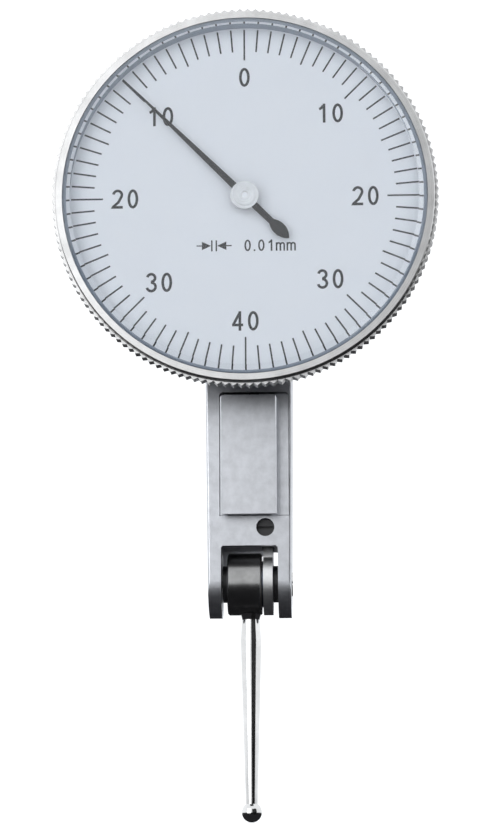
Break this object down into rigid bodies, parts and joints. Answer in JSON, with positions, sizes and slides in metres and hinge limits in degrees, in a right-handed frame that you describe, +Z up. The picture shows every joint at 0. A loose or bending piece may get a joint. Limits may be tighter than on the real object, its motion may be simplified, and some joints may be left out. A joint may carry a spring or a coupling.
{
  "type": "dial test indicator",
  "caption": "Lever-type dial test indicator: round dial under a knurled turning bezel, forked stem with dovetail rails, and a swivelling ball-tipped stylus.",
  "frame": {"origin": "centre of the front dovetail rail's outer face", "axes": "+Z runs up the stem to the dial, -Y is the side the dial and the front rail face, +X is to the right of someone who reads the dial"},
  "size_m": [0.038, 0.0173, 0.0796],
  "materials": {
    "bezel_metal": "satin turned",
    "black_oxide": "black oxide",
    "black_paint": "matt black",
    "brass": "satin",
    "crystal": "polished clear",
    "dark_steel": "dark ground",
    "dial_white": "fine matt white with printed scale",
    "hard_metal": "polished",
    "jewel": "polished ruby",
    "lever_steel": "satin",
    "polished_steel": "polished",
    "satin_chrome": "satin, fine bead-blasted",
    "spacer_plastic": "matt",
    "spring_steel": "blued",
    "turned_steel": "turned"
  },
  "bodies": {
    "frame": {"body_frame": "satin_chrome", "front_cover": "satin_chrome", "cover_screws": "turned_steel", "bezel_snap_ring": "spring_steel", "left_bearing_screw": "turned_steel", "right_bearing_screw": "turned_steel", "travel_stop_screw": "black_oxide", "rest_stop_pin": "turned_steel", "return_spring": "spring_steel", "spring_screw": "turned_steel", "movement_bridge": "brass", "bridge_pillars": "brass", "bridge_screws": "turned_steel", "pillar_screws": "turned_steel", "centre_cock": "brass", "cock_screw": "turned_steel", "bridge_jewel": "jewel", "cock_jewel": "jewel", "crown_jewels": "jewel", "hairspring": "spring_steel", "hairspring_stud": "brass"},
    "bezel": {"bezel_ring": "bezel_metal", "crystal": "crystal", "crystal_spacer": "spacer_plastic", "dial_plate": "dial_white"},
    "lever": {"pivot_shaft": "turned_steel", "clutch_washer": "black_oxide", "clutch_nut": "black_oxide", "friction_washer": "spring_steel", "lever_arm": "lever_steel", "sector_gear": "brass", "sector_rivets": "turned_steel", "spring_pin": "turned_steel"},
    "stylus": {"stylus_drum": "dark_steel", "stylus_shank": "polished_steel", "stylus_ball": "hard_metal"},
    "crown": {"crown_arbor": "polished_steel", "crown_pinion": "polished_steel", "crown_wheel": "brass"},
    "hand": {"centre_arbor": "polished_steel", "centre_pinion": "polished_steel", "hairspring_collet": "brass", "pointer": "black_paint", "pointer_hub": "turned_steel"}
  },
  "joints": [
    {"name": "bezel_turn", "type": "hinge", "parent": "frame", "child": "bezel", "pos_m": [0, 0, 0.02465], "axis": [0, 1, 0], "continuous": true},
    {"name": "lever_swing", "type": "hinge", "parent": "frame", "child": "lever", "pos_m": [0, 0.0047, -0.0125], "axis": [1, 0, 0], "range_deg": [0, 2.9], "stiffness_Nm_per_rad": 0.02, "springref_deg": -20.05, "deforming": ["return_spring"]},
    {"name": "stylus_swivel", "type": "hinge", "parent": "lever", "child": "stylus", "pos_m": [0, 0.0047, -0.0125], "axis": [1, 0, 0], "range_deg": [-115, 115]},
    {"name": "crown_arbor_spin", "type": "hinge", "parent": "frame", "child": "crown", "pos_m": [0, 0.00197, 0.02465], "axis": [1, 0, 0], "range_deg": [-117.3, 0]},
    {"name": "pointer_spin", "type": "hinge", "parent": "frame", "child": "hand", "pos_m": [0, -0.0053, 0.02465], "axis": [0, 1, 0], "range_deg": [0, 513.5], "deforming": ["hairspring"]}
  ],
  "couplings": [
    {"joint": "crown_arbor_spin", "follows": "lever_swing", "ratio": -40.389},
    {"joint": "pointer_spin", "follows": "lever_swing", "ratio": 176.94}
  ]
}
